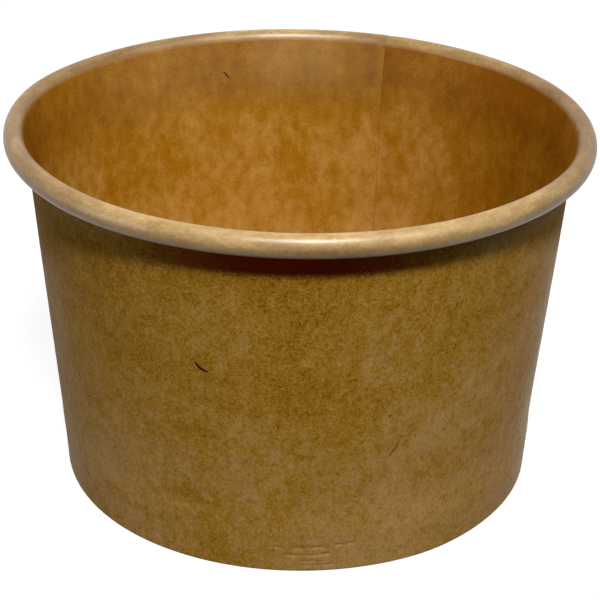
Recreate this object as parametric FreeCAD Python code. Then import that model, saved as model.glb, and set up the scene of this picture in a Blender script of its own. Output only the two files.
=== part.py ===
"""Kraft soup bowl: a wrapped paperboard side wall with a rolled rim, locked round a base.

The bowl is made of two blanks. The side wall is wrapped into a cone and lapped along one
seam, curled outward at the top into a hollow bead, and folded inward at the foot. The base
is a round blank with a turned-down skirt, held in that fold. Both sections are worked out in
the XZ plane, with X the distance from the bowl's axis, and turned about Z.

The origin is on the axis, on the table. The seam's inner edge lies at seam_bearing.
"""

import FreeCAD, Part
import math
import os

# Driving dimensions. Lengths are in millimetres and angles in degrees.
rim_diameter = 115.0        # across the outside of the rolled rim
height = 73.2               # from the table to the top of the rim
bead_diameter = 4.3         # across the rolled bead of the rim
base_diameter = 96.6        # across the outside of the foot
band_height = 14.0          # foot band, pressed nearly upright round the base
band_taper = 3.2            # slope of the foot band from the vertical
wall_board = 0.35           # thickness of the side wall's board
base_board = 0.30           # thickness of the base's board
recess_depth = 8.0          # from the table to the underside of the base's panel
base_bend_radius = 0.5      # inside of the bend between the base's panel and its skirt
hem_height = 7.0            # from the table to the free edge of the hem inside the foot
crease_radius = 0.06        # inside of the two creases that turn the hem up
seam_lap = 7.0              # overlap of the side wall's two ends, half way up
seam_joggle = 2.5           # length in which the outer ply steps over the inner ply
seam_bearing = 70.0         # direction of the inner ply's edge, counted from +X to +Y
seam_end = 0.9              # how far the seam's steps stop short of the hem and the curl
curl_tail = 40.0            # how far the curl's free edge runs on past its first full turn

# Clearances.
glue_gap = 0.05             # on each side of the base's skirt
skirt_gap = 0.60            # between the skirt's lower edge and the fold below it
curl_gap = 0.12             # between one turn of the curl and the next

# Short flats that each bend is made of.
rim_flats = 3               # in each quarter turn of the curl that shows from above
under_flats = 2             # in each quarter turn of the curl under it
skirt_flats = 2             # in the quarter turn from the base's panel to its skirt

# Sizes that follow from them.
rim_radius = rim_diameter / 2
bead_radius = bead_diameter / 2
base_radius = base_diameter / 2
skirt_inset = wall_board + glue_gap
hem_inset = skirt_inset + base_board + glue_gap
panel_top = recess_depth + base_board
seam_radius = (rim_radius - bead_diameter + base_radius) / 2
AXIS = FreeCAD.Vector(0, 0, 1)
ORIGIN = FreeCAD.Vector(0, 0, 0)


def at(x, z):
    """Point of the section at a distance from the axis and a height."""
    return FreeCAD.Vector(x, 0, z)


def toward(angle):
    """Unit direction in the section, at an angle from X towards Z."""
    return at(math.cos(math.radians(angle)), math.sin(math.radians(angle)))


def in_foot(z, inset):
    """Point at height z inside the foot band, inset square to the band's outer face."""
    slope = math.radians(band_taper)
    return at(base_radius + z * math.tan(slope) - inset / math.cos(slope), z)


def arc(centre, radius, start, end, flats):
    """Points along an arc from one angle to another, with a number of flats between them."""
    turn = (end - start) / flats
    return [centre + toward(start + turn * i) * radius for i in range(flats + 1)]


def bend(before, corner, after, radius, flats):
    """Points of a rounded corner on the way from one point by the corner to another."""
    arriving = (corner - before).normalize()
    leaving = (after - corner).normalize()
    turn = math.degrees(arriving.getAngle(leaving))
    to_left = 1 if arriving.x * leaving.z > arriving.z * leaving.x else -1
    from_centre = at(arriving.z, -arriving.x) * to_left
    start = math.degrees(math.atan2(from_centre.z, from_centre.x))
    bend_start = corner - arriving * radius * math.tan(math.radians(turn / 2))
    centre = bend_start - from_centre * radius
    return arc(centre, radius, start, start + turn * to_left, flats)


def into_board(line):
    """Direction from each point of a line into the board on its right, mitred at corners."""
    headings = [(b - a).normalize() for a, b in zip(line, line[1:])]
    rights = [at(heading.z, -heading.x) for heading in headings]
    pairs = zip(rights[:1] + rights, rights + rights[-1:])
    return [(a + b) / (1 + a.dot(b)) for a, b in pairs]


def section(line, near, far):
    """Closed outline between two depths into the board that lies on a line's right."""
    sides = into_board(line)
    near_face = [point + side * near for point, side in zip(line, sides)]
    far_face = [point + side * far for point, side in zip(line, sides)]
    return Part.makePolygon(near_face + far_face[::-1] + near_face[:1])


def turned(outline, bearing=0.0, sweep=360.0):
    """Solid of an outline turned about the bowl's axis from a bearing through a sweep."""
    solid = Part.Face(outline).revolve(ORIGIN, AXIS, sweep)
    solid.rotate(ORIGIN, AXIS, bearing)
    return solid


def ramp(line, near, thin, thick):
    """Wedge along a line that grows from thin to thick where the seam's plies cross."""
    outlines = [section(line, near, thin), section(line, near, thick)]
    joggle_sweep = math.degrees(seam_joggle / seam_radius)
    for outline, bearing in zip(outlines, (seam_bearing - joggle_sweep, seam_bearing)):
        outline.rotate(ORIGIN, AXIS, bearing)
    return Part.makeLoft(outlines, True, True)


def wall_line():
    """Inner face of the side wall: its hem, its upright wall and its curl."""
    curl_centre = at(rim_radius - bead_radius, height - bead_radius)
    hem_edge = in_foot(hem_height, hem_inset)
    inner_crease = in_foot(wall_board, hem_inset)
    outer_crease = in_foot(wall_board, wall_board)
    band_top = in_foot(band_height, wall_board)
    to_centre = curl_centre - band_top
    slope = math.atan2(to_centre.x, to_centre.z) - math.asin(bead_radius / to_centre.Length)
    curl_start = 180 - math.degrees(slope)

    hem = [hem_edge]
    hem += bend(hem_edge, inner_crease, outer_crease, crease_radius, 1)
    foot = bend(inner_crease, outer_crease, band_top, crease_radius, 1)
    upright = [foot.pop(), band_top, curl_centre + toward(curl_start) * bead_radius]

    step = (wall_board + curl_gap) / 2
    under_centre = curl_centre + at(step, 0)
    tail_flats = math.ceil(under_flats * curl_tail / 90)
    curl = arc(curl_centre, bead_radius, curl_start, 90, rim_flats)[1:]
    curl += arc(curl_centre, bead_radius, 90, 0, rim_flats)[1:]
    curl += arc(under_centre, bead_radius - step, 0, -180, 2 * under_flats)[1:]
    curl += arc(curl_centre, bead_radius - 2 * step, -180, -180 - curl_tail, tail_flats)[1:]
    return hem + foot, upright, curl


def shortened(line, length):
    """The line with a length taken off each end."""
    first = (line[1] - line[0]).normalize() * length
    last = (line[-2] - line[-1]).normalize() * length
    return [line[0] + first, *line[1:-1], line[-1] + last]


def make_side_wall():
    """Side wall: one blank with its hem, its lapped seam and its rolled rim."""
    hem, upright, curl = wall_line()
    wall = turned(section(hem + upright + curl, 0, wall_board))
    seam = shortened(upright, seam_end)
    outer_ply = section(seam, wall_board / 2, 2 * wall_board)
    lap = turned(outer_ply, seam_bearing, math.degrees(seam_lap / seam_radius))
    step_over = ramp(seam, wall_board / 2, wall_board, 2 * wall_board)
    inner_step = ramp(seam, -wall_board, 0, wall_board)
    return wall.fuse([lap, step_over]).cut(inner_step).removeSplitter()


def make_base_disc():
    """Base: a round blank with its skirt turned down inside the foot."""
    panel_centre = at(0, panel_top)
    panel_edge = in_foot(panel_top, skirt_inset)
    skirt_edge = in_foot(wall_board + skirt_gap, skirt_inset)
    outer_radius = base_bend_radius + base_board
    line = [panel_centre]
    line += bend(panel_centre, panel_edge, skirt_edge, outer_radius, skirt_flats)
    line += [skirt_edge]
    return turned(section(line, 0, base_board))


os.makedirs("parts", exist_ok=True)
for name, shape in (("side_wall", make_side_wall()), ("base_disc", make_base_disc())):
    if len(shape.Solids) != 1 or not shape.isValid():
        raise ValueError(f"{name} is not one valid solid")
    shape.Solids[0].exportStep(f"parts/{name}.step")
    print(f"{name}: {shape.Volume:.0f} mm3 of board")
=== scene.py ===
"""Kraft soup bowl: the finish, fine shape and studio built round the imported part.

Two bonded blanks of kraft paperboard make the bowl. The side wall is one sheet, wrapped and
lapped, hemmed at the foot and rolled into a bead at the rim. The base is a round blank whose
skirt stands in the hem. Both are worked out here as sections carried round the bowl's axis.
"""

import math
from collections import namedtuple

import bpy
import numpy as np
from mathutils import Matrix, Vector


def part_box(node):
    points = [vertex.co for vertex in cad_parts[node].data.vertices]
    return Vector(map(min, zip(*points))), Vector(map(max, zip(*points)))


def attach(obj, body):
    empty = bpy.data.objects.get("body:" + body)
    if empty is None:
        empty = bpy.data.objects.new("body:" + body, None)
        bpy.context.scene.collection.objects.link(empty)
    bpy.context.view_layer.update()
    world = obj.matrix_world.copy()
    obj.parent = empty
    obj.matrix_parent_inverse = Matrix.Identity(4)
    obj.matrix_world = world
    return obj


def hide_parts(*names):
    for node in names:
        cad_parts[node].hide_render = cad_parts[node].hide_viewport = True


bl_info = {
    "name": "Kraft Soup Bowl",
    "version": (1, 0, 0),
    "blender": (4, 5, 0),
    "location": "View3D > Sidebar > Kraft Bowl",
    "description": "Builds a kraft paperboard soup bowl with a rolled rim, and a studio for it",
    "category": "Add Mesh",
}

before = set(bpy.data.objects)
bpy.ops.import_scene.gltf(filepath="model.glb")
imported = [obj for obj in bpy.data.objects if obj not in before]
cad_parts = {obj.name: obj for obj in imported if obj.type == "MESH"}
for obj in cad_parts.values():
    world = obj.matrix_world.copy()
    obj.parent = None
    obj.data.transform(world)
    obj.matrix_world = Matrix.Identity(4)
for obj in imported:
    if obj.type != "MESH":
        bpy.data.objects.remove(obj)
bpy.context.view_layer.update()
_, WALL_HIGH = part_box("side_wall")
DISC_LOW, DISC_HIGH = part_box("base_disc")
MM = 0.001

# Columns of mesh round each board, the hair between two at a cut edge, and the least fold
# that shows as an edge.
WALL_COLUMNS = 304
BASE_COLUMNS = 240
HAIR = 0.02 * MM
SHARP_FOLD = math.radians(38)

# Seeds of the wall's waves and of the small stray fibres.
WAVE_SEED = 31
STRAY_SEED = 12

# Materials of a board, in the order of its mesh's material slots.
BOARD_FINISHES = ("lined_kraft", "rolled_kraft", "bare_kraft", "cut_kraft")
INSIDE, BEAD, OUTSIDE, CUT_EDGE = range(len(BOARD_FINISHES))


def linear(hex_code):
    """Linear colour of an sRGB hex code such as "8a6428"."""
    shades = [int(hex_code[i : i + 2], 16) / 255 for i in (0, 2, 4)]
    return tuple(s / 12.92 if s <= 0.04045 else ((s + 0.055) / 1.055) ** 2.4 for s in shades)


def number_prop(name, default, description, **kind):
    """Property for a number."""
    return bpy.props.FloatProperty(name=name, default=default, description=description, **kind)


def length_prop(name, metres, description):
    """Property for a length."""
    return number_prop(name, metres, description, unit="LENGTH", precision=5)


def angle_prop(name, degrees, description):
    """Property for an angle, with its default in degrees."""
    return number_prop(name, math.radians(degrees), description, subtype="ANGLE")


def power_prop(name, watts):
    """Property for the power of a lamp."""
    return number_prop(name, watts, "In watts", unit="POWER")


def colour_prop(name, hex_code, description):
    """Property for a colour, with its default as an sRGB hex code."""
    return bpy.props.FloatVectorProperty(
        name=name, default=linear(hex_code), description=description,
        subtype="COLOR", size=3, min=0, max=1,
    )


class BowlShape(bpy.types.PropertyGroup):
    """Sizes of the bowl."""

    rim_radius: length_prop("Rim radius", WALL_HIGH.x, "From the axis to the rim's outside")
    height: length_prop("Height", WALL_HIGH.z, "From the table to the top of the rim")
    bead_radius: length_prop("Bead radius", 2.32 * MM, "Half the height of the rolled bead")
    bead_share: number_prop("Bead width", 0.84, "Width of the bead as a share of its height")
    flare: length_prop("Flare", 8.0 * MM, "From the rim's top down to where the wall flares")
    foot_radius: length_prop("Foot radius", 48.3 * MM, "From the axis to the foot's outside")
    band_height: length_prop("Foot band", 14.0 * MM, "Height of the band round the base")
    band_slope: angle_prop("Foot band slope", 3.2, "Slope of the foot band from the vertical")
    wall_slope: angle_prop("Wall slope", 4.32, "Slope of the wall from the vertical")
    wall_board: length_prop("Wall board", 0.35 * MM, "Thickness of the side wall's board")
    base_board: length_prop("Base board", 0.30 * MM, "Thickness of the base's board")
    panel_top: length_prop("Base panel", DISC_HIGH.z, "From the table to the top of the panel")
    skirt_foot: length_prop("Skirt's edge", DISC_LOW.z, "From the table to the skirt's edge")
    base_bend: length_prop("Base bend", 0.5 * MM, "Radius inside the base's bend")
    hem_height: length_prop("Hem", 7.0 * MM, "From the table to the hem's free edge")
    crease: length_prop("Crease", 0.06 * MM, "Radius inside the creases of the hem")
    glue_gap: length_prop("Glue gap", 0.05 * MM, "Clearance on each side of the skirt")
    curl_gap: length_prop("Curl gap", 0.16 * MM, "Clearance between turns of the curl")
    curl_tail: angle_prop("Curl's tail", 40, "How far the curl runs past its first turn")
    seam_bearing: angle_prop("Seam", 70, "Direction of the inner ply's edge from +X to +Y")
    seam_lap: length_prop("Seam lap", 7.0 * MM, "Overlap of the side wall's two ends")
    seam_joggle: length_prop("Seam joggle", 2.5 * MM, "Length in which a ply steps over")
    sheet_wave: length_prop("Sheet wave", 0.05 * MM, "How far the wall strays from a true cone")
    waist: length_prop("Waist", 0.2 * MM, "How far the wall draws in at the foot band's top")
    small_strays: bpy.props.IntProperty(
        name="Small strays", default=2600, min=0, description="Number of small splinters and hairs"
    )


class BowlKraft(bpy.types.PropertyGroup):
    """Colours of the kraft board."""

    # The outside's dark colour also serves the painted shadow under the rim, and its light one painted
    # reflection and sheen.
    outside_dark: colour_prop("Outside, dark", "765000", "Deep patches of the bare outside")
    outside_mid: colour_prop("Outside, middle", "89641d", "Most of the bare outside")
    outside_light: colour_prop("Outside, light", "9a7747", "Pale patches of the bare outside")
    # The inside's dark colour also serves painted shade near the rim, and its light one painted light
    # low down.
    inside_dark: colour_prop("Inside, dark", "7d4a00", "Deep patches of the lined inside")
    inside_mid: colour_prop("Inside, middle", "936312", "Most of the lined inside")
    inside_light: colour_prop("Inside, light", "b08240", "Pale patches of the lined inside")
    # The bead's dark colour also serves painted shade on its underside and ends, and its light one
    # painted highlights at its front and back.
    bead_dark: colour_prop("Bead, dark", "6c4a16", "Underside of the rolled rim")
    bead_mid: colour_prop("Bead, middle", "8e7040", "Most of the rolled rim")
    bead_light: colour_prop("Bead, light", "b99a66", "Pale streaks of the rolled rim")
    # Colour of a painted greyish sheen on the lining near the rim.
    haze: colour_prop("Haze", "9c9a7a", "Milky lining near the rim")
    # Colour of a painted shadow, dark red, close under the curl at the front.
    painted_shadow_tint: colour_prop("Waxed", "640a00", "Wax-darkened board close under the curl")
    fibre: colour_prop("Fibre", "c79f50", "Pale fibres at the surface")
    edge: colour_prop("Cut edge", "a58757", "Pulp that shows at a cut edge")
    shive: colour_prop("Shive", "300808", "Dark splinter of bark in the pulp")
    stray: colour_prop("Stray fibre", "b08c56", "Pale fibre that stands out of the pulp")


class BowlStudio(bpy.types.PropertyGroup):
    """Camera, lamps and table."""

    lens: number_prop("Lens", 104.15, "Focal length in millimetres")
    camera_place: bpy.props.FloatVectorProperty(
        name="Camera", default=(0.473 * MM, -318.78 * MM, 192.63 * MM), size=3,
        description="Place of the camera", subtype="XYZ", unit="LENGTH",
    )
    camera_dip: angle_prop("Camera dip", 26.564, "How far the camera looks down")
    camera_roll: angle_prop("Camera roll", 1.066, "How far the camera is turned on its axis")
    key_bearing: angle_prop("Key bearing", -84, "Direction of the key lamp from +X to +Y")
    key_height: angle_prop("Key height", 52.5, "Height of the key lamp above the horizon")
    key_power: power_prop("Key power", 17.5)
    side_power: power_prop("Side power", 5.8)
    low_power: power_prop("Low power", 3.2)
    back_power: power_prop("Back power", 12.0)
    sky: number_prop("Room light", 0.05, "Strength of the room's light")
    table_shade: number_prop("Table", 0.1, "Reflectance of the table")
    table_glow: number_prop("Glow", 0.88, "White added to the table")
    shadow_share: number_prop("Shadow", 0.15, "Share of the lamps' light in the table's white")


# Shape ------------------------


def arc(centre, radius, start, end, count):
    """Points along an arc from one angle to another, both ends included."""
    angle = np.linspace(start, end, count + 1)
    return centre + radius * np.column_stack([np.cos(angle), np.sin(angle)])


def bend(before, corner, after, radius, count):
    """Points of a rounded corner: the arc that touches both of its runs.

    The arc's centre is the radius away from both runs. It touches them at the radius times
    the tangent of half the turn from the corner.
    """
    arriving = (corner - before) / np.linalg.norm(corner - before)
    leaving = (after - corner) / np.linalg.norm(after - corner)
    turn = math.atan2(arriving[0] * leaving[1] - arriving[1] * leaving[0], arriving @ leaving)
    from_centre = np.array([arriving[1], -arriving[0]]) * math.copysign(1, turn)
    centre = corner - arriving * radius * math.tan(abs(turn) / 2) - from_centre * radius
    start = math.atan2(from_centre[1], from_centre[0])
    return arc(centre, radius, start, start + turn, count)


def filled(stretches, steps):
    """The stretches in a row, with points in each straight gap no further apart than its step."""
    points = [stretches[0]]
    for stretch, step in zip(stretches[1:], steps):
        gap = stretch[0] - points[-1][-1]
        count = math.ceil(np.linalg.norm(gap) / step)
        share = np.arange(1, count) / count
        points += [points[-1][-1] + gap * share[:, None], stretch]
    return np.vstack(points)


def along(line):
    """Length along a line at each of its points."""
    return np.concatenate([[0], np.cumsum(np.linalg.norm(np.diff(line, axis=0), axis=1))])


def into_board(line):
    """Direction from each point of a line into the board on its right, mitred at corners.

    It is the sum of the normals of the two runs that meet there, divided by one plus their
    dot product, so that a sheet laid on the line keeps its thickness round the corner.
    """
    heading = np.diff(line, axis=0)
    heading /= np.linalg.norm(heading, axis=1)[:, None]
    right = np.column_stack([heading[:, 1], -heading[:, 0]])
    before = np.vstack([right[:1], right])
    after = np.vstack([right, right[-1:]])
    return (before + after) / (1 + np.sum(before * after, axis=1))[:, None]


def smooth(value, start, end):
    """Ramp from 0 at start to 1 at end, level at both: 3t^2 - 2t^3 of the share t between."""
    share = np.clip((value - start) / (end - start), 0, 1)
    return share * share * (3 - 2 * share)


def turn_from(start, bearing, full=2 * math.pi):
    """Turn from one bearing to another, at most half a full turn."""
    return np.mod(bearing - start + full / 2, full) - full / 2


def in_foot(shape, height, inset):
    """Point of the section at a height in the foot band, inset square to its outer face."""
    slope = shape.band_slope
    radius = shape.foot_radius + height * math.tan(slope) - inset / math.cos(slope)
    return np.array([radius, height])


class WallSection:
    """Section of the side wall: its food side as a line, and the direction into the board."""

    def __init__(self, shape):
        """Hem, foot band, cone, flare and curl, in that order from the hem's edge to the curl's.

        The flare's line touches the curl. The curl is three arcs, whose centres move outward
        and whose radii shrink by half the board and gap at each half turn, all narrowed to
        make an oval.
        """
        board, bead = shape.wall_board, shape.bead_radius
        hem_inset = board + 2 * shape.glue_gap + shape.base_board
        hem_edge = in_foot(shape, shape.hem_height, hem_inset)
        inner_crease = in_foot(shape, board, hem_inset)
        outer_crease = in_foot(shape, board, board)
        band_top = in_foot(shape, shape.band_height, board)
        rise = shape.height - shape.flare - shape.band_height
        flare = band_top + np.array([rise * math.tan(shape.wall_slope), rise])
        marks_top = in_foot(shape, shape.hem_height + 0.5 * MM, board)
        oval = np.array([shape.bead_share, 1.0])
        hub = np.array([shape.rim_radius, shape.height]) / oval - bead
        to_hub = hub - flare / oval
        slope = math.atan2(*to_hub) - math.asin(bead / np.linalg.norm(to_hub))
        step = (board + shape.curl_gap) / 2
        half = math.pi
        hem_bend = bend(hem_edge, inner_crease, outer_crease, shape.crease, 5)
        foot_bend = bend(inner_crease, outer_crease, band_top, shape.crease, 6)
        curl = oval * np.vstack([
            arc(hub, bead, half - slope, 0, 24),
            arc(hub + (step, 0), bead - step, 0, -half, 12)[1:],
            arc(hub, bead - 2 * step, -half, -half - shape.curl_tail, 4)[1:],
        ])
        flare_bend = bend(band_top, flare, curl[0], 25 * MM, 4)
        stretches = [hem_edge, hem_bend, foot_bend, marks_top, band_top, flare_bend, curl]
        # Steps down the hem, under the foot, past the crimp marks, and up band, cone and flare.
        steps = (MM, MM, 0.21 * MM, 1.2 * MM, 2.3 * MM, 0.9 * MM)
        self.line = filled([np.atleast_2d(stretch) for stretch in stretches], steps)
        self.depth = into_board(self.line)
        self.length = along(self.line)
        self.foot_start = self.length_at(foot_bend[-1])
        self.band_top = self.length_at(band_top)
        self.curl_start = self.length_at(curl[0])
        self.curl_top = self.length_at(oval * (hub + (0, bead)))
        upright = (self.length >= self.foot_start) & (self.length <= self.curl_start)
        self.upright_line, self.upright_length = self.line[upright], self.length[upright]

    def length_at(self, point):
        """Length along the section at the point of its line that is nearest to a point."""
        return self.length[np.argmin(np.linalg.norm(self.line - point, axis=1))]

    def at_height(self, height):
        """Radius of the food side, and length along the section, at heights up the wall."""
        radius, heights = self.upright_line.T
        length = np.interp(height, heights, self.upright_length)
        return np.interp(height, heights, radius), length


def sheet_wave(shape, section, bearing, length):
    """How far the sheet strays outward, for arrays of bearings and lengths along the section.

    A sum of a few waves round the bowl, each with its own count and phase, that drift with
    the height. It fades out at the foot, which stands flat, and on the curl, which is stiff.
    The waist is a ramp in below the top of the foot band, and a longer one out above it.
    """
    draw = np.random.default_rng(WAVE_SEED)
    wave = 0
    for count in (2, 3, 5, 8, 13):
        phase, drift = draw.uniform(0, 2 * math.pi), draw.uniform(-60, 60)
        wave = wave + np.cos(count * bearing + phase + drift * length) / math.sqrt(count)
    fade = smooth(length, section.foot_start, section.band_top + 8 * MM)
    fade = fade * (1 - smooth(length, section.curl_start - 8 * MM, section.curl_start))
    waist = smooth(length, section.band_top - 6 * MM, section.band_top)
    waist = waist * (1 - smooth(length, section.band_top, section.band_top + 42 * MM))
    return shape.sheet_wave * wave * fade / 2 - shape.waist * waist


# Where the rim and the foot stray from round: bearing and spread in degrees, millimetres out.
RIM_STRAYS = (
    (162, 18, 0.7), (212, 18, -0.25), (312, 18, -0.25), (348, 20, -0.08), (25, 15, 0.17),
    (90, 45, -0.2), (270, 45, -0.2),
)
FOOT_STRAYS = ((190, 28, -0.33), (302, 12, 0.24))


def bells(strays, bearing):
    """Sum of a bell curve of the bearing for each stray."""
    outward = 0
    for centre, spread, peak in strays:
        turn = turn_from(centre, np.degrees(bearing), full=360)
        outward = outward + peak * MM * np.exp(-((turn / spread) ** 2))
    return outward


def wall_lean(section, bearing, length):
    """How far the wall leans outward: the rim's strays grow up the wall, and the foot's fade."""
    up = smooth(length, section.band_top, section.curl_start)
    down = 1 - smooth(length, section.foot_start + 6 * MM, section.band_top)
    return bells(RIM_STRAYS, bearing) * up + bells(FOOT_STRAYS, bearing) * down


# Marked bearings of the foot, and the step of the columns there, in degrees.
MARKED_FOOT = (-96, -75, 0.36)
# Marks that the hem's pressing rollers left in it: bearing in degrees, then height, length,
# width and depth in millimetres.
CRIMPS = (
    (-93.6, 5.6, 2.2, 0.26, 0.16),
    (-88.6, 5.5, 2.4, 0.50, 0.20),
    (-84.6, 5.6, 3.2, 0.24, 0.14),
    (-79.6, 6.0, 2.0, 0.28, 0.16),
    (-77.0, 6.1, 1.4, 0.24, 0.14),
    (-90.6, 3.9, 2.2, 0.28, 0.16),
    (-86.6, 3.8, 4.6, 0.24, 0.15),
    (-82.6, 4.0, 2.0, 0.30, 0.18),
    (-86.0, 2.4, 5.0, 0.24, 0.10),
    (-84.0, 1.5, 5.4, 0.24, 0.10),
)


def crimp_depth(section, bearing, length):
    """Depth of the crimp marks in the outer face.

    Each mark is a groove: a bell curve across its width, and a flat stretch with soft ends
    along its length.
    """
    height = np.interp(length, section.length, section.line[:, 1]) / MM
    radius = np.interp(length, section.length, section.line[:, 0]) / MM
    depth = 0
    for mark_bearing, mark_height, long, wide, deep in CRIMPS:
        turn = turn_from(math.radians(mark_bearing), bearing)
        past = 2 * turn * radius / long
        across = (height - mark_height) / wide
        depth = depth + deep * np.exp(-(across**2) - past**4)
    return depth * MM * (length > section.foot_start)


def seam_radius(shape):
    """Radius at which the seam's widths are measured, half way up."""
    return (shape.rim_radius + shape.foot_radius) / 2 - shape.bead_radius


def seam_steps(shape, section, bearing, length):
    """Recess of the food side and rise of the outer face where the wall's two ends lap.

    Both grow over the joggle. At the seam's bearing the food side drops back at once to the
    inner ply, and the outer face stays up to the outer ply's cut edge, a lap further on. Both
    fade at the foot's bend and at the curl, but the food side keeps a faint step over the bead.
    """
    past = turn_from(shape.seam_bearing, bearing) * seam_radius(shape)
    rise = smooth(past, -shape.seam_joggle, 0)
    on_wall = smooth(length, section.foot_start, section.foot_start + 1.2 * MM)
    before_curl = 1 - smooth(length, section.curl_start - 1.6 * MM, section.curl_start)
    on_bead = 0.22 * (1 - smooth(length, section.curl_top, section.curl_top + 5 * MM))
    recess = rise * (past < 0) * on_wall * np.maximum(before_curl, on_bead)
    outer = rise * (past < shape.seam_lap) * on_wall * before_curl
    return shape.wall_board * recess, shape.wall_board * outer


def wall_bearings(shape):
    """Bearings of the wall's columns, a full turn that starts at the seam.

    They are even, with closer ones at the crimp marks and in the seam's joggle, and a pair a
    hair apart at each cut edge of the seam. An even one too near to those is left out.
    """
    hair = HAIR / seam_radius(shape)
    lap = shape.seam_lap / seam_radius(shape)
    even = np.linspace(0, 2 * math.pi, WALL_COLUMNS, endpoint=False)
    at_marks = np.radians(np.arange(*MARKED_FOOT)) - shape.seam_bearing
    joggle = -hair - np.linspace(0, shape.seam_joggle / seam_radius(shape), 8)
    close = np.mod(np.concatenate([at_marks, joggle, [0, lap - hair, lap]]), 2 * math.pi)
    apart = np.abs(turn_from(close, even[:, None])).min(axis=1)
    return shape.seam_bearing + np.unique(np.concatenate([even[apart > 8 * hair], close]))


def squares(rows, columns, close_rows):
    """Row and column of each square's four corners, anticlockwise from outside the board.

    Columns go round the axis and close. Rows go along the section, and close if asked. An
    index one past the last stands for the first again.
    """
    count = rows if close_rows else rows - 1
    row, column = (index.ravel() for index in np.mgrid[0:count, 0:columns])
    row_of = np.stack([row, row + 1, row + 1, row], axis=1)
    column_of = np.stack([column, column, column + 1, column + 1], axis=1)
    return row_of, column_of


def board_mesh(name, vertices, faces, layout, finish):
    """Mesh of a board. The layout is each corner's place on the flat sheet, in metres."""
    mesh = bpy.data.meshes.new(name)
    mesh.from_pydata(vertices, [], faces)
    sheet = mesh.uv_layers.new(name="board")
    sheet.data.foreach_set("uv", np.asarray(layout, np.float32).ravel())
    mesh.polygons.foreach_set("material_index", np.asarray(finish, np.int32))
    for material in BOARD_FINISHES:
        mesh.materials.append(bpy.data.materials[material])
    mesh.shade_smooth()
    mesh.set_sharp_from_angle(angle=SHARP_FOLD)
    return mesh


def linked(name, data):
    """New object with some data, linked into the scene."""
    thing = bpy.data.objects.new(name, data)
    bpy.context.scene.collection.objects.link(thing)
    return thing


def add_piece(mesh, node=None):
    """Piece that rides on the bowl, and stands for a CAD node if one is named."""
    piece = linked(mesh.name, mesh)
    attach(piece, "root")
    if node:
        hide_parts(node)


def there_and_back(rows):
    """Rows in order, then in reverse."""
    return np.concatenate([rows, rows[::-1]])


def turned(radius, height, bearing):
    """Points at a radius and height, turned to bearings: radius times cosine and sine."""
    across, beside = radius * np.cos(bearing), radius * np.sin(bearing)
    return np.stack([across, beside, np.broadcast_to(height, across.shape)], axis=-1)


def wall_points(shape, section, bearing):
    """Points of the side wall, in rows along its section's loop and columns round it.

    A point is the section's line, moved along its depth direction by the recess of the seam
    on the food side, or by the board's thickness, the lap and the crimps on the outer face,
    and by the sheet's wave on both.
    """
    length = section.length[:, None]
    recess, rise = seam_steps(shape, section, bearing, length)
    wave = sheet_wave(shape, section, bearing, length)
    outer_depth = shape.wall_board + rise + wave - crimp_depth(section, bearing, length)
    depth = np.vstack([recess + wave, outer_depth[::-1]])
    line, across = there_and_back(section.line), there_and_back(section.depth)
    points = line[:, None, :] + across[:, None, :] * depth[..., None]
    lean = wall_lean(section, bearing, there_and_back(length))
    return turned(points[..., 0] + lean, points[..., 1], bearing)


def wall_mesh(shape):
    """Side wall: the section's loop, up its food side and down its outer face, carried round.

    On the flat sheet, a place is the bearing times the seam's radius, and the length along
    the section. The outer ply's end lies a full turn on.
    """
    section = WallSection(shape)
    bearing = wall_bearings(shape)
    vertices = wall_points(shape, section, bearing[None, :])
    rows, columns = vertices.shape[:2]
    row_of, column_of = squares(rows, columns, close_rows=True)
    faces = (row_of % rows) * columns + column_of % columns
    up_and_down = np.append(there_and_back(section.length), section.length[0])
    turn = np.append(bearing, bearing[0] + 2 * math.pi)
    row, last_food = row_of[:, 0], len(section.line) - 1
    past_seam = (turn - shape.seam_bearing) * seam_radius(shape)
    outer_end = (row[:, None] > last_food) & (past_seam[column_of] < shape.seam_lap - HAIR / 2)
    around = (turn[column_of] + 2 * math.pi * outer_end) * seam_radius(shape)
    layout = np.stack([around, up_and_down[row_of]], axis=-1)

    on_bead = up_and_down[row] >= section.curl_start - 0.3 * MM
    finish = np.where(row > last_food, OUTSIDE, np.where(on_bead, BEAD, INSIDE))
    cut_across = (row == last_food) | (row == rows - 1)
    cut_along = np.diff(turn)[column_of[:, 0]] * seam_radius(shape) < 1.5 * HAIR
    finish[cut_across | (cut_along & (row > last_food))] = CUT_EDGE
    vertices = vertices.reshape(-1, 3)
    return board_mesh("side_wall_board", vertices, faces.tolist(), layout, finish)


# Centre of the base's flat sheet in metres, clear of the wall's.
BASE_SHEET = (0.5, -0.1)


def base_line(shape):
    """Food side of the base's section, from its panel's first ring to its skirt's edge."""
    inset = shape.wall_board + shape.glue_gap
    first_ring = np.array([1.0 * MM, shape.panel_top])
    panel_edge = in_foot(shape, shape.panel_top, inset)
    skirt_edge = in_foot(shape, shape.skirt_foot, inset)
    corner = bend(first_ring, panel_edge, skirt_edge, shape.base_bend + shape.base_board, 10)
    return filled([first_ring[None], corner, skirt_edge[None]], (1.5 * MM, 0.8 * MM))


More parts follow.
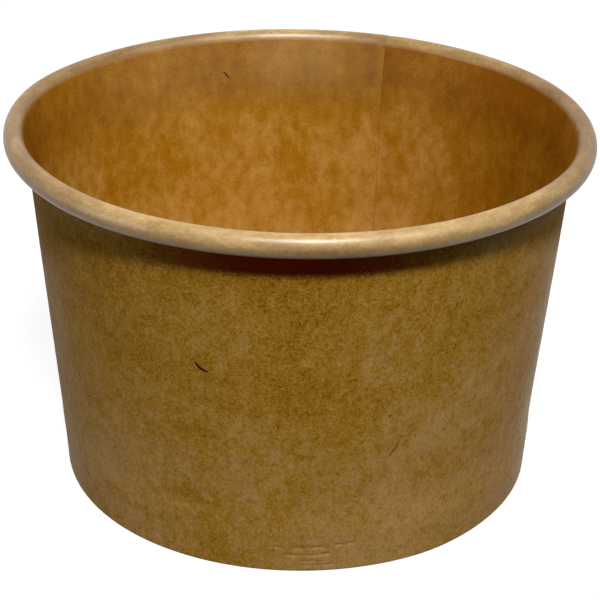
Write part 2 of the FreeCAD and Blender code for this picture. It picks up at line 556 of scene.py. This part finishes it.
def base_mesh(shape):
    """Base: the panel's and skirt's section, carried round the axis and closed at its centre.

    Its flat sheet is the section laid out from the centre, at the same bearings.
    """
    line = base_line(shape)
    under = line + into_board(line) * shape.base_board
    loop = np.vstack([line, under[::-1]])
    bearing = np.linspace(0, 2 * math.pi, BASE_COLUMNS, endpoint=False)
    radius = loop[:, :1]
    lean = bells(FOOT_STRAYS, bearing) * np.minimum(radius / line[-1, 0], 1)
    rings = turned(radius + lean, loop[:, 1:], bearing)
    poles = [[0, 0, shape.panel_top], [0, 0, shape.panel_top - shape.base_board]]
    vertices = np.vstack([rings.reshape(-1, 3), poles])

    rows, columns = rings.shape[:2]
    row_of, column_of = squares(rows, columns, close_rows=False)
    sides = row_of * columns + column_of % columns
    here, after = np.arange(columns), np.roll(np.arange(columns), -1)
    pole = np.full(columns, rows * columns)
    last_ring = (rows - 1) * columns
    top = np.stack([pole, here, after], axis=1)
    bottom = np.stack([pole + 1, last_ring + after, last_ring + here], axis=1)
    faces = sides.tolist() + top.tolist() + bottom.tolist()

    reach = along(line) + line[0, 0]
    sheet = turned(there_and_back(reach)[:, None], 0, bearing)[..., :2]
    sheet = np.vstack([sheet.reshape(-1, 2), np.zeros((2, 2))]) + BASE_SHEET
    layout = sheet[np.concatenate([sides.ravel(), top.ravel(), bottom.ravel()])]
    row, last_food = row_of[:, 0], len(line) - 1
    finish = np.where(row < last_food, INSIDE, OUTSIDE)
    finish[row == last_food] = CUT_EDGE
    finish = np.append(finish, [INSIDE] * columns + [OUTSIDE] * columns)
    return board_mesh("base_board", vertices, faces, layout, finish)


# Splinters and hairs of the pulp that stand out singly: 1 on the outside or 0 inside, bearing
# in degrees, height, length and width in millimetres, heading and turn in degrees, paleness.
STRAYS = (
    (1, -109.4, 43.5, 3.8, 0.62, -38, 44, 0.0),
    (1, -68.4, 26.3, 5.4, 0.24, -118, -30, 0.12),
    (1, -71.6, 23.7, 2.6, 0.13, 168, -25, 0.3),
    (1, -70.2, 33.9, 0.5, 0.44, 0, 0, 0.0),
    (1, -110.4, 60.4, 2.2, 0.12, -75, -60, 0.3),
    (1, -72.8, 50.9, 0.7, 0.22, 20, 0, 0.25),
    (1, -74.5, 58.2, 1.1, 0.12, 50, 60, 0.3),
    (1, -72.8, 45.7, 2.4, 0.10, -20, 150, 0.3),
    (1, -117.5, 39.4, 0.8, 0.40, 15, 20, 0.15),
    (1, -57.0, 58.5, 0.8, 0.20, 80, 0, 0.25),
    (1, -59.0, 8.7, 2.4, 0.11, 48, 10, 0.3),
    (0, 108.7, 64.2, 2.9, 0.42, 52, -30, 0.1),
    (0, 118.6, 61.8, 1.2, 0.14, 80, 20, 0.9),
    (0, 117.8, 61.4, 0.9, 0.14, 70, -20, 0.9),
)


def scattered_strays(count):
    """Small splinters and hairs with chance places, sizes and tones, in rows like STRAYS."""
    draw = np.random.default_rng(STRAY_SEED)
    return np.column_stack([
        draw.random(count) < 0.7, draw.uniform(0, 360, count), draw.uniform(3, 66, count),
        0.3 + draw.gamma(2.0, 0.3, count), draw.uniform(0.05, 0.12, count),
        draw.uniform(0, 360, count), draw.normal(0, 60, count), draw.uniform(0.25, 0.9, count),
    ])


def sliver_faces(slivers, stations, sides):
    """Faces of slivers that are each a row of rings of points, closed at both ends."""
    row_of, column_of = squares(stations, sides, close_rows=False)
    skin = (row_of * sides + column_of % sides)[:, [0, 3, 2, 1]]
    start = np.arange(slivers)[:, None] * stations * sides
    skins = (start[..., None] + skin).reshape(-1, 4)
    ends = start + np.arange(sides)
    return np.vstack([skins, ends[:, ::-1], ends + (stations - 1) * sides])


def stray_mesh(shape):
    """Splinters and hairs as flat slivers with a diamond section, half sunk in the board.

    A sliver's heading turns evenly along it, so its middle line is an arc, and it tapers to
    both ends. The singled-out ones come first, then small ones scattered over both faces.
    """
    section = WallSection(shape)
    slivers = np.vstack([STRAYS, scattered_strays(shape.small_strays)])
    outside, bearing, height, long, wide, heading, turn, pale = slivers.T[:, :, None]
    share, middle = np.linspace(-0.5, 0.5, 7), slice(3, 4)
    aim = np.radians(heading + turn * share)
    drift_round = np.cumsum(np.cos(aim), axis=1) * long * MM / len(share)
    drift_up = np.cumsum(np.sin(aim), axis=1) * long * MM / len(share)
    half_width = wide * MM / 2 * np.sqrt(1.02 - (2 * share) ** 2)
    rings = []
    for sideways, lift in ((1, 0), (0, 1), (-1, 0), (0, -1)):
        across = drift_round - drift_round[:, middle] - np.sin(aim) * half_width * sideways
        up = height * MM + drift_up - drift_up[:, middle] + np.cos(aim) * half_width * sideways
        skin, length = section.at_height(up)
        spot = np.radians(bearing) + across / skin
        recess, rise = seam_steps(shape, section, spot, length)
        skin = skin + sheet_wave(shape, section, spot, length) + wall_lean(section, spot, length)
        proud = 0.02 * MM * lift
        skin = skin + np.where(outside > 0, shape.wall_board + rise + proud, recess - proud)
        rings.append(turned(skin, up, spot))
    points = np.stack(rings, axis=2)
    strays, stations, sides = points.shape[:3]
    mesh = bpy.data.meshes.new("stray_fibres")
    mesh.from_pydata(points.reshape(-1, 3), [], sliver_faces(strays, stations, sides).tolist())
    paleness = np.repeat(pale.ravel(), stations * sides).astype(np.float32)
    mesh.attributes.new("paleness", "FLOAT", "POINT").data.foreach_set("value", paleness)
    mesh.materials.append(bpy.data.materials["pulp_shive"])
    mesh.shade_smooth()
    return mesh


# Finish -----------------------

# Clouds of the pulp on each face: size in millimetres, stretch up the wall, and strength.
INSIDE_CLOUDS = ((26, 1.6, 0.32), (8, 1.8, 0.4), (2.4, 1.4, 0.45), (0.6, 1.0, 0.3))
OUTSIDE_CLOUDS = ((24, 0.6, 0.45), (7, 0.8, 0.3), (2.2, 1.4, 0.45), (0.8, 1.2, 0.5))
BEAD_CLOUDS = ((9, 0.3, 0.45), (3, 0.4, 0.32), (0.8, 0.6, 0.3))

# Scales on the flat sheet: degrees round it, millimetres round it from the seam, millimetres
# up it from the foot's bend and from the start of the curl, the share of the way between
# those two, and bead radii past the top of the bead.
ROUND, FROM_SEAM, FROM_FOOT, FROM_CURL, UP_WALL, PAST_BEAD = range(6)

# Drifts of shade on each face, some of them painted light and shade, and shares of its tint of
# painted light. A drift is a product of ramps. A ramp is a scale, two places on it, and its
# values there, between which it is smooth.
INSIDE_DRIFTS = (
    ((FROM_SEAM, 0, 36, 1, 0), (FROM_FOOT, 10, 48, 0.3, 0)),
    ((ROUND, 398, 424, 0, 0.1),),
    ((ROUND, 95, 125, 0, 1), (ROUND, 150, 185, 0.08, -0.02)),
    # Paler low down: painted bounce light from the base.
    ((FROM_FOOT, 10, 50, 0.2, 0),),
    # Darker toward the rim: painted shade.
    ((FROM_CURL, -20, -4, 0, -0.2),),
    # Darker at the top right: painted shade.
    ((ROUND, 350, 385, 0, 1), (FROM_CURL, -16, -5, 0, -0.2)),
    # Paler at the top of the back: painted sheen.
    ((ROUND, 76, 86, 0, 1), (ROUND, 96, 106, 1, 0), (FROM_CURL, -16, -5, 0, 0.14)),
)
# Shares of the painted greyish sheen near the rim inside, most at the back.
PAINTED_SHEEN_SHARES = (
    ((ROUND, 125, 160, 1, 0.1), (FROM_CURL, -19, -6, 0, 0.09)),
    ((ROUND, 76, 86, 0, 1), (ROUND, 96, 106, 1, 0), (FROM_CURL, -16, -5, 0, 0.07)),
    ((ROUND, 390, 425, 0, 1), (FROM_CURL, -19, -6, 0, 0.04)),
)
BEAD_SHARES = (((FROM_CURL, -0.1, 1.1, 0, 1),),)
BEAD_PAINTED_LIGHT = (
    # Painted light and shade on the bead: lighter at the front and the back, darker at the ends.
    ((ROUND, 200, 240, -0.22, 0.15),),
    ((ROUND, 305, 345, 0, -0.5), (ROUND, 375, 405, 1, 0.4)),
    ((ROUND, 70, 90, 0, 1), (ROUND, 95, 125, 0.4, 0)),
    # Darker on the underside: painted shade.
    ((PAST_BEAD, 0.9, 1.7, 0, -0.38),),
)
OUTSIDE_DRIFTS = (
    # Paler toward the foot, a painted reflection of the white table, and darker toward the curl.
    ((UP_WALL, 0, 1, 0.13, -0.2),),
    # Paler away from the front, to both sides: painted sheen.
    ((ROUND, 268, 297, 0, 0.16),),
    ((ROUND, 230, 268, 0.08, 0),),
    # Darker close under the curl at the front: painted shadow of the rim.
    ((ROUND, 228, 255, 0, 1), (ROUND, 276, 300, 1, 0), (FROM_CURL, -8.6, -6.6, 0, -0.4)),
    # Paler close under the curl, right and left of the front: painted light in the rim's shadow.
    ((ROUND, 295, 315, 0, 1), (ROUND, 335, 355, 1, 0), (FROM_CURL, -10, -7, 0, 0.35)),
    ((ROUND, 205, 215, 0, 1), (ROUND, 230, 245, 1, 0), (FROM_CURL, -10, -7, 0, 0.25)),
)
# Shares of the dark red painted shadow close under the curl, at the front only.
PAINTED_SHADOW_SHARES = (
    ((ROUND, 232, 262, 0, 1), (ROUND, 276, 304, 1, 0), (FROM_CURL, -8.3, -6.6, 0, 0.9)),
)

# A face of the board: its clouds with their seed and drifts, its three colours, its fibres'
# colour and how far the grain leans to it, and the colour and the shares of its tint of
# painted light.
Face = namedtuple("Face", "seed clouds drifts colours fibre grain haze haze_shares", defaults=(None, ()))


def sheet_scales(shape):
    """For each scale, its axis of the flat sheet, and its zero and its unit there in metres."""
    section = WallSection(shape)
    foot, curl, radius = section.foot_start, section.curl_start, seam_radius(shape)
    return {
        ROUND: (0, 0, radius * math.pi / 180),
        FROM_SEAM: (0, shape.seam_bearing * radius, MM),
        FROM_FOOT: (1, foot, MM),
        FROM_CURL: (1, curl, MM),
        UP_WALL: (1, foot, curl - foot),
        PAST_BEAD: (1, section.curl_top, shape.bead_radius),
    }


def add(tree, kind, inputs=None, **settings):
    """Add a node with its settings, and give its inputs values or links from other nodes."""
    node = tree.nodes.new("ShaderNode" + kind)
    for name, value in settings.items():
        setattr(node, name, value)
    for name, value in (inputs or {}).items():
        if isinstance(value, bpy.types.NodeSocket):
            tree.links.new(value, node.inputs[name])
        else:
            node.inputs[name].default_value = value
    return node


def new_material(name):
    """Material with an empty node tree."""
    material = bpy.data.materials.new(name)
    material.use_nodes = True
    material.node_tree.nodes.clear()
    return material


def tones(tree, shade, dark, middle, light):
    """Colour of a shade: dark at a tenth, middle at a half and light at nine tenths."""
    ramp = add(tree, "ValToRGB", {"Fac": shade})
    elements = ramp.color_ramp.elements
    elements.new(0.5)
    for element, place, colour in zip(elements, (0.1, 0.5, 0.9), (dark, middle, light)):
        element.position = place
        element.color = (*colour, 1)
    return ramp.outputs[0]


def cloudiness(tree, place, layers):
    """Sum of noises round a half, from layers of size in millimetres, stretch and strength.

    A stretch above 1 draws a layer's clouds out up the wall, and below 1 round it.
    """
    total = 0.5 - sum(strength for *_, strength in layers) / 2
    for size, stretch, strength in layers:
        scale = (1 / size, 1 / (size * stretch), 1)
        cloud = add(tree, "Mapping", {"Vector": place, "Scale": scale}).outputs[0]
        noise = add(
            tree, "TexNoise", {"Vector": cloud, "Scale": 1.0, "Detail": 1.0}, noise_dimensions="2D"
        )
        terms = {0: noise.outputs[0], 1: strength, 2: total}
        total = add(tree, "Math", terms, operation="MULTIPLY_ADD").outputs[0]
    return total


def fibres(tree, place, size, width):
    """Fine curled fibres: 1 along the lines where a warped noise crosses a half, 0 elsewhere."""
    scaled = add(tree, "Mapping", {"Vector": place, "Scale": (1 / size,) * 3}).outputs[0]
    noise = add(
        tree, "TexNoise", {"Vector": scaled, "Scale": 1.0, "Detail": 1.0, "Distortion": 1.4},
        noise_dimensions="2D",
    )
    off = add(tree, "Math", {0: noise.outputs[0], 1: 0.5}, operation="SUBTRACT").outputs[0]
    away = add(tree, "Math", {0: off}, operation="ABSOLUTE").outputs[0]
    line = add(
        tree, "MapRange", {"Value": away, "From Max": width, "To Min": 1.0, "To Max": 0.0},
        interpolation_type="SMOOTHSTEP",
    )
    return line.outputs[0]


def drifted(tree, flat, shade, drifts, scales):
    """A shade on the flat sheet, plus its drifts."""
    across = add(tree, "SeparateXYZ", {0: flat})
    for ramps in drifts:
        drift = 1.0
        for scale, start, end, at_start, at_end in ramps:
            axis, zero, unit = scales[scale]
            ramp = add(
                tree, "MapRange",
                {"Value": across.outputs[axis], "From Min": zero + start * unit,
                 "From Max": zero + end * unit, "To Min": at_start, "To Max": at_end},
                interpolation_type="SMOOTHSTEP",
            ).outputs[0]
            drift = add(tree, "Math", {0: ramp, 1: drift}, operation="MULTIPLY").outputs[0]
        shade = add(tree, "Math", {0: shade, 1: drift}, operation="ADD").outputs[0]
    return shade


def pulp(tree, place, shade, colours, fibre_colour, grain):
    """Colour of kraft pulp, and its fine pattern, which lies evenly round a half.

    The shade of the clouds runs through the colours, which differ most in how yellow they
    are. Over it, fine grain and curled fibres lean to the fibre's colour or away from it.
    """
    elsewhere = {"Vector": place, "Location": (37, 19, 0), "Rotation": (0, 0, 1)}
    other = add(tree, "Mapping", elsewhere).outputs[0]
    fine = cloudiness(tree, other, ((0.4, 1.0, 1.0),))
    for size, strength in ((1.4, 0.45), (0.8, 0.4)):
        pale, deep = fibres(tree, place, size, 0.05), fibres(tree, other, size * 1.2, 0.05)
        for line, part in ((pale, strength), (deep, -strength)):
            terms = {0: line, 1: part, 2: fine}
            fine = add(tree, "Math", terms, operation="MULTIPLY_ADD").outputs[0]
    terms = {0: fine, 1: grain, 2: -grain / 2}
    lean = add(tree, "Math", terms, operation="MULTIPLY_ADD").outputs[0]
    colour = add(
        tree, "Mix", {0: lean, 6: tones(tree, shade, *colours), 7: (*fibre_colour, 1)},
        data_type="RGBA", clamp_factor=False, clamp_result=True,
    )
    return colour.outputs[2], fine


def face_colour(tree, flat, place, face, scales):
    """Colour and fine pattern of a face of the board."""
    shade = drifted(tree, flat, cloudiness(tree, place, face.clouds), face.drifts, scales)
    colour, fine = pulp(tree, place, shade, face.colours, face.fibre, face.grain)
    # A tint of painted light over the colour: painted sheen on the lining, painted shadow under the
    # outside's curl.
    if face.haze_shares:
        share = drifted(tree, flat, 0.0, face.haze_shares, scales)
        painted_light_mix = add(tree, "Mix", {0: share, 6: colour, 7: (*face.haze, 1)}, data_type="RGBA")
        colour = painted_light_mix.outputs[2]
    return colour, fine


def board_surface(tree, colour, pattern, relief, roughness, specular, sheen):
    """Surface of a board. Its relief follows a pattern, and its height is in metres."""
    bump = add(tree, "Bump", {"Height": pattern, "Strength": 1.0, "Distance": relief})
    surface = add(
        tree, "BsdfPrincipled",
        {"Base Color": colour, "Roughness": roughness, "IOR": 1.5, "Specular IOR Level": specular,
         "Sheen Weight": sheen, "Sheen Roughness": 0.3, "Normal": bump.outputs[0]},
    )
    add(tree, "OutputMaterial", {"Surface": surface.outputs[0]})


def on_sheet(tree, seed):
    """Place on the flat sheet in metres, and in millimetres with a shift by a seed."""
    flat = add(tree, "UVMap", uv_map="board").outputs[0]
    shifted = {"Vector": flat, "Location": (seed, seed, 0), "Scale": (1000, 1000, 1000)}
    return flat, add(tree, "Mapping", shifted).outputs[0]


def faced_kraft(name, face, scales, **surface):
    """A face of the board, with the relief and the gloss of its surface."""
    tree = new_material(name).node_tree
    flat, place = on_sheet(tree, face.seed)
    colour, fine = face_colour(tree, flat, place, face, scales)
    board_surface(tree, colour, fine, **surface)


def rolled_kraft(name, face, bead_colours, scales, **surface):
    """The rolled rim. The face's colour passes to the bead's at the start of the curl.

    On the bead, the pulp is drawn a little along the rim, in colour and in relief. Painted light
    and shade lie over it too: highlights at the front and the back, shade at the ends and underneath.
    """
    tree = new_material(name).node_tree
    flat, place = on_sheet(tree, face.seed)
    colour, _ = face_colour(tree, flat, place, face, scales)
    streaks_and_painted_light = drifted(tree, flat, cloudiness(tree, place, BEAD_CLOUDS), BEAD_PAINTED_LIGHT, scales)
    bead, fine = pulp(tree, place, streaks_and_painted_light, bead_colours, face.fibre, grain=0.09)
    share = drifted(tree, flat, 0.0, BEAD_SHARES, scales)
    colour = add(tree, "Mix", {0: share, 6: colour, 7: bead}, data_type="RGBA").outputs[2]
    pattern = add(tree, "Math", {0: streaks_and_painted_light, 1: fine}, operation="ADD").outputs[0]
    board_surface(tree, colour, pattern, **surface)


def bowl_finishes(shape, kraft):
    """The four finishes of the board: lined inside, rolled bead, bare outside, cut edge."""
    scales = sheet_scales(shape)
    inside = Face(
        seed=11.0, clouds=INSIDE_CLOUDS, drifts=INSIDE_DRIFTS,
        colours=(kraft.inside_dark, kraft.inside_mid, kraft.inside_light),
        fibre=kraft.fibre, grain=0.12, haze=kraft.haze, haze_shares=PAINTED_SHEEN_SHARES,
    )
    outside = Face(
        seed=5.0, clouds=OUTSIDE_CLOUDS, drifts=OUTSIDE_DRIFTS,
        colours=(kraft.outside_dark, kraft.outside_mid, kraft.outside_light),
        fibre=kraft.fibre, grain=0.4, haze=kraft.painted_shadow_tint, haze_shares=PAINTED_SHADOW_SHARES,
    )
    edge = Face(
        seed=3.0, clouds=OUTSIDE_CLOUDS[2:], drifts=(),
        colours=(kraft.outside_mid, kraft.edge, kraft.edge),
        fibre=kraft.fibre, grain=0.2,
    )
    # Kraft board with a pressed plastic lining. Smooth, amber and almost without a gleam, with a
    # painted greyish sheen near the rim. Painted shade darkens it toward the rim, most at the right,
    # and painted bounce light makes it paler low down. The sheet's first end is paler low down,
    # which shows up the seam.
    faced_kraft(
        "lined_kraft", inside, scales, relief=0.004 * MM, roughness=0.55, specular=0.03, sheen=0.0
    )
    # The same board where the curl has drawn the lining. Paler, streaked, and it gleams, with painted
    # highlights at its front and back and painted shade at its ends and underside.
    rolled_kraft(
        "rolled_kraft", inside, (kraft.bead_dark, kraft.bead_mid, kraft.bead_light), scales,
        relief=0.006 * MM, roughness=0.37, specular=0.56, sheen=0.0,
    )
    # Bare kraft board. Dull, mottled and fibrous. Painted reflection of the white table makes it
    # paler toward the foot, and painted sheen paler away from the front. It has a soft veil where it
    # turns away. Close under the curl at the front it has a dark red painted shadow, with painted
    # light at the shadow's sides.
    faced_kraft(
        "bare_kraft", outside, scales, relief=0.010 * MM, roughness=0.8, specular=0.06, sheen=0.1
    )
    # Pulp at a cut edge. Plain and a little paler than the faces.
    faced_kraft(
        "cut_kraft", edge, scales, relief=0.01 * MM, roughness=0.9, specular=0.06, sheen=0.0
    )


def shive_finish(kraft):
    """Splinters of bark and stray fibres. Dark brown to the pulp's own pale brown, and dull."""
    tree = new_material("pulp_shive").node_tree
    paleness = add(tree, "Attribute", attribute_name="paleness").outputs["Fac"]
    place = add(tree, "TexCoord").outputs["Object"]
    mottle = add(tree, "TexNoise", {"Vector": place, "Scale": 2500.0}).outputs[0]
    terms = {0: mottle, 1: 0.03, 2: paleness}
    shade = add(tree, "Math", terms, operation="MULTIPLY_ADD").outputs[0]
    ramp = add(tree, "ValToRGB", {"Fac": shade})
    for element, colour in zip(ramp.color_ramp.elements, (kraft.shive, kraft.stray)):
        element.color = (*colour, 1)
    surface = add(
        tree, "BsdfPrincipled",
        {"Base Color": ramp.outputs[0], "Roughness": 0.8, "Specular IOR Level": 0.05},
    )
    add(tree, "OutputMaterial", {"Surface": surface.outputs[0]})


# Studio -----------------------


def background_ray(tree):
    """1 for rays that show the background: the camera's, and those mirrored or let through."""
    path = add(tree, "LightPath").outputs
    seen = path["Is Camera Ray"]
    for ray in ("Is Glossy Ray", "Is Transmission Ray"):
        seen = add(tree, "Math", {0: seen, 1: path[ray]}, operation="MAXIMUM").outputs[0]
    return seen


def make_table(studio):
    """Wide plain table. It looks white, with the bowl's shadow on it, and bounces less light."""
    half = 3.0
    mesh = bpy.data.meshes.new("table")
    corners = [(-half, -half, 0), (half, -half, 0), (half, half, 0), (-half, half, 0)]
    mesh.from_pydata(corners, [], [(0, 1, 2, 3)])
    table = linked("table", mesh)

    material = new_material("table_white")
    tree = material.node_tree
    shade, veil = studio.table_shade, studio.shadow_share
    matt = add(tree, "BsdfDiffuse", {"Color": (shade, shade, shade, 1)}).outputs[0]
    shadowed = add(tree, "BsdfDiffuse", {"Color": (veil, veil, veil, 1)}).outputs[0]
    glow = add(tree, "Emission", {"Color": (1, 1, 1, 1), "Strength": studio.table_glow})
    white = add(tree, "AddShader", {0: shadowed, 1: glow.outputs[0]}).outputs[0]
    seen = add(tree, "MixShader", {0: background_ray(tree), 1: matt, 2: white}).outputs[0]
    below = add(tree, "NewGeometry").outputs["Backfacing"]
    clear = add(tree, "BsdfTransparent").outputs[0]
    surface = add(tree, "MixShader", {0: below, 1: seen, 2: clear}).outputs[0]
    add(tree, "OutputMaterial", {"Surface": surface})
    mesh.materials.append(material)


def make_world(studio):
    """Even room light, which looks plain white."""
    world = bpy.data.worlds.new("room")
    world.use_nodes = True
    tree = world.node_tree
    tree.nodes.clear()
    strength = add(
        tree, "MapRange", {"Value": background_ray(tree), "To Min": studio.sky, "To Max": 1.0}
    )
    sky = add(tree, "Background", {"Color": (1, 1, 1, 1), "Strength": strength.outputs[0]})
    add(tree, "OutputWorld", {"Surface": sky.outputs[0]})
    bpy.context.scene.world = world


def make_lamp(name, bearing, height, distance, size, power):
    """Square lamp facing the bowl, at a bearing, a height above the horizon and a distance."""
    lamp = bpy.data.lights.new(name, "AREA")
    lamp.shape, lamp.size, lamp.energy = "SQUARE", size, power
    level = math.cos(height)
    aim = Vector((level * math.cos(bearing), level * math.sin(bearing), math.sin(height)))
    holder = linked(name, lamp)
    holder.location = Vector((0, 0, WALL_HIGH.z / 2)) + aim * distance
    holder.rotation_euler = aim.to_track_quat("Z", "Y").to_euler()
    return holder


def make_camera(studio):
    """Camera that looks along +Y, dipped and slightly rolled."""
    data = bpy.data.cameras.new("camera")
    data.lens = studio.lens
    camera = linked("camera", data)
    tilt = Matrix.Rotation(math.pi / 2 - studio.camera_dip, 4, "X")
    roll = Matrix.Rotation(studio.camera_roll, 4, "Z")
    camera.matrix_world = Matrix.Translation(studio.camera_place) @ tilt @ roll
    bpy.context.scene.camera = camera


# Operators --------------------


class BOWL_OT_finishes(bpy.types.Operator):
    """Make the materials of the board and its stray fibres"""

    bl_idname = "bowl.finishes"
    bl_label = "Finishes"

    def execute(self, context):
        bowl_finishes(context.scene.bowl_shape, context.scene.bowl_kraft)
        shive_finish(context.scene.bowl_kraft)
        return {"FINISHED"}


class BOWL_OT_side_wall(bpy.types.Operator):
    """Make the side wall, with its hem, lapped seam and rolled rim"""

    bl_idname = "bowl.side_wall"
    bl_label = "Side wall"

    def execute(self, context):
        add_piece(wall_mesh(context.scene.bowl_shape), node="side_wall")
        return {"FINISHED"}


class BOWL_OT_base(bpy.types.Operator):
    """Make the base, with its skirt"""

    bl_idname = "bowl.base"
    bl_label = "Base"

    def execute(self, context):
        add_piece(base_mesh(context.scene.bowl_shape), node="base_disc")
        return {"FINISHED"}


class BOWL_OT_stray_fibres(bpy.types.Operator):
    """Make the splinters and hairs of pulp that stand out on the wall"""

    bl_idname = "bowl.stray_fibres"
    bl_label = "Stray fibres"

    def execute(self, context):
        add_piece(stray_mesh(context.scene.bowl_shape))
        return {"FINISHED"}


class BOWL_OT_studio(bpy.types.Operator):
    """Make the table, the room's light, the lamps and the camera"""

    bl_idname = "bowl.studio"
    bl_label = "Studio"

    def execute(self, context):
        studio = context.scene.bowl_studio
        make_table(studio)
        make_world(studio)
        # Each lamp's bearing and height, its distance and size in metres, and its power.
        make_lamp("key", studio.key_bearing, studio.key_height, 1.2, 0.16, studio.key_power)
        make_lamp("side", math.radians(-30), math.radians(50), 1.5, 0.8, studio.side_power)
        make_lamp("low", math.radians(-160), math.radians(6), 1.5, 0.3, studio.low_power)
        back = make_lamp("back", math.radians(110), math.radians(40), 1.5, 0.8, studio.back_power)
        back.visible_glossy = False
        make_camera(studio)
        context.scene.view_settings.view_transform = "Standard"
        return {"FINISHED"}


class BOWL_PT_panel(bpy.types.Panel):
    """Sizes, colours and steps of the bowl"""

    bl_idname = "BOWL_PT_panel"
    bl_label = "Kraft Bowl"
    bl_space_type = "VIEW_3D"
    bl_region_type = "UI"
    bl_category = "Kraft Bowl"

    def draw(self, context):
        for group_name in GROUPS:
            group, box = getattr(context.scene, group_name), self.layout.box()
            for name in group.bl_rna.properties.keys():
                if name not in ("rna_type", "name"):
                    box.prop(group, name)
        for step in STEPS:
            self.layout.operator(step.bl_idname)


GROUPS = {"bowl_shape": BowlShape, "bowl_kraft": BowlKraft, "bowl_studio": BowlStudio}
STEPS = (BOWL_OT_finishes, BOWL_OT_side_wall, BOWL_OT_base, BOWL_OT_stray_fibres, BOWL_OT_studio)
CLASSES = (*GROUPS.values(), *STEPS, BOWL_PT_panel)


def register():
    """Register the classes, and give each scene its sizes and colours."""
    for one_class in CLASSES:
        bpy.utils.register_class(one_class)
    for name, group in GROUPS.items():
        setattr(bpy.types.Scene, name, bpy.props.PointerProperty(type=group))


def unregister():
    """Undo register."""
    for name in GROUPS:
        delattr(bpy.types.Scene, name)
    for one_class in reversed(CLASSES):
        bpy.utils.unregister_class(one_class)


def main():
    """Build the bowl and its studio."""
    register()
    bpy.ops.bowl.finishes()
    bpy.ops.bowl.side_wall()
    bpy.ops.bowl.base()
    bpy.ops.bowl.stray_fibres()
    bpy.ops.bowl.studio()


if __name__ == "__main__":
    main()
